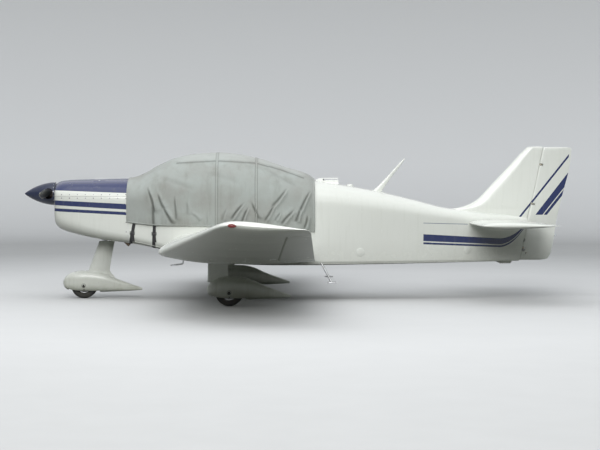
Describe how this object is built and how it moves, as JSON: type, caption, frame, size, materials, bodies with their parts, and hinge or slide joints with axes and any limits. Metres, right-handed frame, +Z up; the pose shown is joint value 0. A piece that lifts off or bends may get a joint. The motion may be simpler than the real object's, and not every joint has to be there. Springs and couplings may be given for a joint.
{
  "type": "light aircraft",
  "caption": "Low-wing piston light aircraft with bent-up wing tips, wheel spats and a fabric cover over its cockpit, parked on tricycle gear.",
  "frame": {"origin": "On the ground plane under the middle of the overall box", "axes": "X runs along the fuselage with the nose at -X, Y runs across it with the port wing at -Y, and +Z is up"},
  "size_m": [6.96, 8.7202, 1.93],
  "materials": {
    "white_paint": "gloss white paint on alloy and glass-fibre pieces",
    "white_airframe": "gloss white paint over doped fabric on wooden frames",
    "white_wing": "gloss white paint over a plywood and fabric wing",
    "blue_paint": "gloss dark blue paint",
    "cover_fabric": "woven pale grey cover cloth",
    "strap_web": "black webbing",
    "bare_alloy": "machined and cast alloy",
    "dark_steel": "dark cast and welded metal",
    "black_paint": "satin black paint",
    "tyre_rubber": "black tyre rubber",
    "canopy_acrylic": "clear acrylic canopy, closed",
    "clear_lens": "clear lamp cover",
    "red_lens": "red lamp lens",
    "green_lens": "green lamp lens"
  },
  "bodies": {
    "airframe": {"fuselage": "white_airframe", "firewall": "bare_alloy", "cowl_upper": "white_paint", "cowl_lower": "white_paint", "engine": "dark_steel", "nose_leg_socket": "dark_steel", "cockpit_hood": "canopy_acrylic", "canopy_cover": "cover_fabric", "cover_strap_front": "strap_web", "cover_strap_rear": "strap_web", "wing_inner_left": "white_wing", "wing_inner_right": "white_wing", "wing_outer_left": "white_wing", "wing_outer_right": "white_wing", "fin": "white_airframe", "vent_fairing": "white_paint", "radio_antenna": "white_paint", "satnav_puck": "white_paint", "main_leg_left": "bare_alloy", "main_leg_right": "bare_alloy", "main_leg_fairing_left": "white_paint", "main_leg_fairing_right": "white_paint", "main_spat_left": "white_paint", "main_spat_right": "white_paint", "exhaust_pipe": "dark_steel", "pitot_tube": "bare_alloy", "landing_light": "clear_lens", "nav_light_left": "red_lens", "nav_light_right": "green_lens", "step_left": "bare_alloy", "step_right": "bare_alloy", "tie_down_left": "bare_alloy", "tie_down_right": "bare_alloy", "tail_skid": "bare_alloy"},
    "propeller": {"propeller": "black_paint", "spinner": "blue_paint"},
    "nose_gear": {"nose_leg": "bare_alloy", "nose_leg_fairing": "white_paint", "nose_spat": "white_paint"},
    "nose_wheel": {"nose_tyre": "tyre_rubber", "nose_rim": "bare_alloy"},
    "main_wheel_left": {"main_tyre_left": "tyre_rubber", "main_rim_left": "bare_alloy"},
    "main_wheel_right": {"main_tyre_right": "tyre_rubber", "main_rim_right": "bare_alloy"},
    "flap_left": {"flap_left": "white_wing"},
    "flap_right": {"flap_right": "white_wing"},
    "aileron_left": {"aileron_left": "white_wing"},
    "aileron_right": {"aileron_right": "white_wing"},
    "rudder": {"rudder": "white_airframe", "tail_light": "clear_lens"},
    "stabilator": {"stabilator": "white_airframe"},
    "anti_tab_left": {"anti_tab_left": "white_airframe"},
    "anti_tab_right": {"anti_tab_right": "white_airframe"}
  },
  "joints": [
    {"name": "propeller_spin", "type": "hinge", "parent": "airframe", "child": "propeller", "pos_m": [-3.165, 0, 1.33], "axis": [1, 0, 0], "continuous": true},
    {"name": "nose_steering", "type": "hinge", "parent": "airframe", "child": "nose_gear", "pos_m": [-2.51156, 0, 0.6], "axis": [0.2924, 0, 0.9563], "range_deg": [-20, 20]},
    {"name": "nose_wheel_spin", "type": "hinge", "parent": "nose_gear", "child": "nose_wheel", "pos_m": [-2.725, 0, 0.16656], "axis": [0, 1, 0], "continuous": true},
    {"name": "main_wheel_left_spin", "type": "hinge", "parent": "airframe", "child": "main_wheel_left", "pos_m": [-0.84, -1.29, 0.16656], "axis": [0, 1, 0], "continuous": true},
    {"name": "main_wheel_right_spin", "type": "hinge", "parent": "airframe", "child": "main_wheel_right", "pos_m": [-0.84, 1.29, 0.16656], "axis": [0, 1, 0], "continuous": true},
    {"name": "flap_left_turn", "type": "hinge", "parent": "airframe", "child": "flap_left", "pos_m": [-0.20242, -0.62, 0.65029], "axis": [0, 1, 0], "range_deg": [0, 60]},
    {"name": "flap_right_turn", "type": "hinge", "parent": "airframe", "child": "flap_right", "pos_m": [-0.20242, 0.62, 0.65029], "axis": [0, 1, 0], "range_deg": [0, 60]},
    {"name": "aileron_left_turn", "type": "hinge", "parent": "airframe", "child": "aileron_left", "pos_m": [-0.22762, -3.07594, 0.68202], "axis": [-0.0784, 0.9637, -0.2553], "range_deg": [-15, 15]},
    {"name": "aileron_right_turn", "type": "hinge", "parent": "airframe", "child": "aileron_right", "pos_m": [-0.22762, 3.07594, 0.68202], "axis": [0.0784, 0.9637, 0.2553], "range_deg": [-15, 15]},
    {"name": "rudder_turn", "type": "hinge", "parent": "airframe", "child": "rudder", "pos_m": [2.94553, 0, 1], "axis": [0.2079, 0, 0.9781], "range_deg": [-25, 25]},
    {"name": "stabilator_turn", "type": "hinge", "parent": "airframe", "child": "stabilator", "pos_m": [2.4084, 0, 0.96], "axis": [0, 1, 0], "range_deg": [-15, 6]},
    {"name": "anti_tab_left_turn", "type": "hinge", "parent": "stabilator", "child": "anti_tab_left", "pos_m": [2.919, -0.2, 0.96], "axis": [0, 1, 0], "range_deg": [-12, 5]},
    {"name": "anti_tab_right_turn", "type": "hinge", "parent": "stabilator", "child": "anti_tab_right", "pos_m": [2.919, 0.2, 0.96], "axis": [0, 1, 0], "range_deg": [-12, 5]}
  ],
  "couplings": [
    {"joint": "flap_right_turn", "follows": "flap_left_turn", "ratio": 1},
    {"joint": "aileron_right_turn", "follows": "aileron_left_turn", "ratio": -1},
    {"joint": "anti_tab_left_turn", "follows": "stabilator_turn", "ratio": 0.8},
    {"joint": "anti_tab_right_turn", "follows": "stabilator_turn", "ratio": 0.8}
  ]
}
